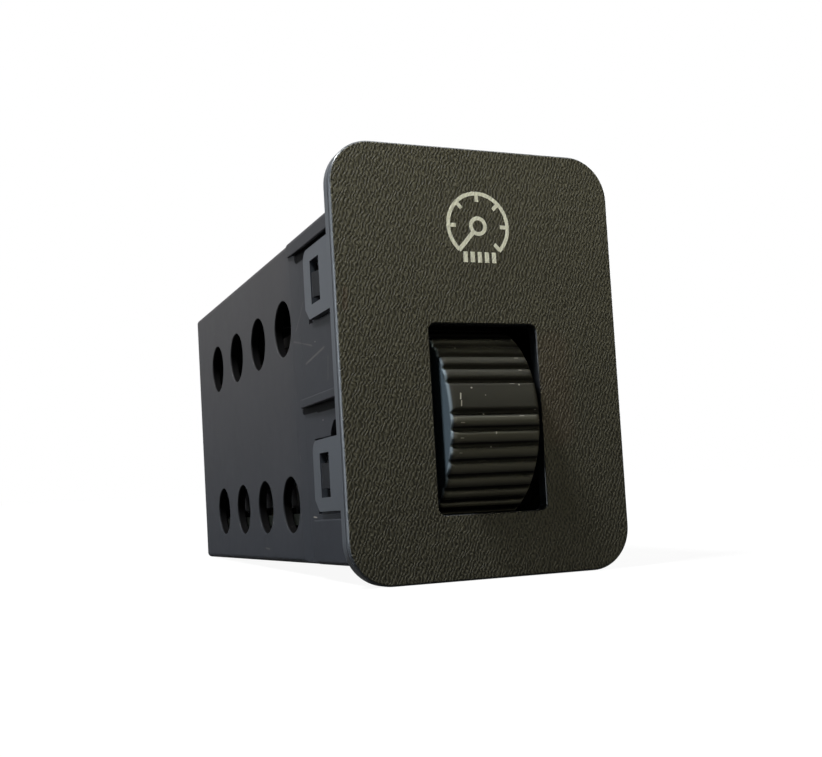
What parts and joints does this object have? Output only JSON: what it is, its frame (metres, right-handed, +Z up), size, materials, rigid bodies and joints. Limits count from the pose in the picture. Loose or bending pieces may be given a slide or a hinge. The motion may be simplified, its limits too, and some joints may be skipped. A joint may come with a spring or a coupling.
{
  "type": "dash light dimmer switch",
  "caption": "Dash light dimmer with a ribbed thumbwheel in a flat round-cornered bezel, clipped by snap loops to a vented box housing with a blade socket at the rear.",
  "frame": {"origin": "centre of the bezel's back face, which seats on the panel", "axes": "+Y into the panel, away from the person who turns the wheel; +Z up, +X to that person's right"},
  "size_m": [0.039, 0.0846, 0.054],
  "materials": {
    "bezel_plastic": "black, fine leather grain on the face",
    "wheel_plastic": "black, smooth with a soft sheen on the ribs",
    "housing_plastic": "dark grey, faintly speckled",
    "carrier_plastic": "black, as moulded",
    "control_plastic": "black, as moulded",
    "rotor_plastic": "natural nylon",
    "track_carbon": "screened carbon",
    "phenolic_board": "brown laminate",
    "main_board": "green laminate with solder mask",
    "bright_steel": "tinned or bright steel",
    "tinned_brass": "bright",
    "aluminium_sink": "extruded, plain",
    "chip_epoxy": "moulded epoxy",
    "capacitor_sleeve": "shrunk sleeve",
    "ferrite": "sintered, dull",
    "copper_wire": "enamelled copper",
    "film_epoxy": "dipped epoxy",
    "ceramic": "unglazed ceramic"
  },
  "bodies": {
    "switch_body": {"bezel": "bezel_plastic", "housing": "housing_plastic", "rear_cover": "housing_plastic", "wheel_carrier": "carrier_plastic", "control_case": "control_plastic", "control_track": "track_carbon", "control_board": "phenolic_board", "upper_board": "phenolic_board", "circuit_board": "main_board", "friction_washer": "bright_steel", "transistor_tab": "bright_steel", "transistor_screw": "bright_steel", "transistor_leg_1": "bright_steel", "transistor_leg_2": "bright_steel", "transistor_leg_3": "bright_steel", "resistor_lead_1": "bright_steel", "resistor_lead_2": "bright_steel", "control_tag_1": "tinned_brass", "control_tag_2": "tinned_brass", "control_tag_3": "tinned_brass", "board_pin_1": "tinned_brass", "board_pin_2": "tinned_brass", "blade_1": "tinned_brass", "blade_2": "tinned_brass", "blade_3": "tinned_brass", "blade_4": "tinned_brass", "blade_5": "tinned_brass", "heat_sink": "aluminium_sink", "transistor_body": "chip_epoxy", "control_chip": "chip_epoxy", "diode": "chip_epoxy", "capacitor": "capacitor_sleeve", "timing_capacitor": "capacitor_sleeve", "choke_core": "ferrite", "choke_winding": "copper_wire", "film_capacitor": "film_epoxy", "power_resistor": "ceramic"},
    "wheel": {"thumbwheel": "wheel_plastic", "axle": "bright_steel", "axle_clip": "bright_steel", "control_rotor": "rotor_plastic", "control_wiper": "tinned_brass"}
  },
  "joints": [
    {"name": "wheel_turn", "type": "hinge", "parent": "switch_body", "child": "wheel", "pos_m": [0, 0.0088, -0.0071], "axis": [1, 0, 0], "range_deg": [-140, 140]}
  ]
}
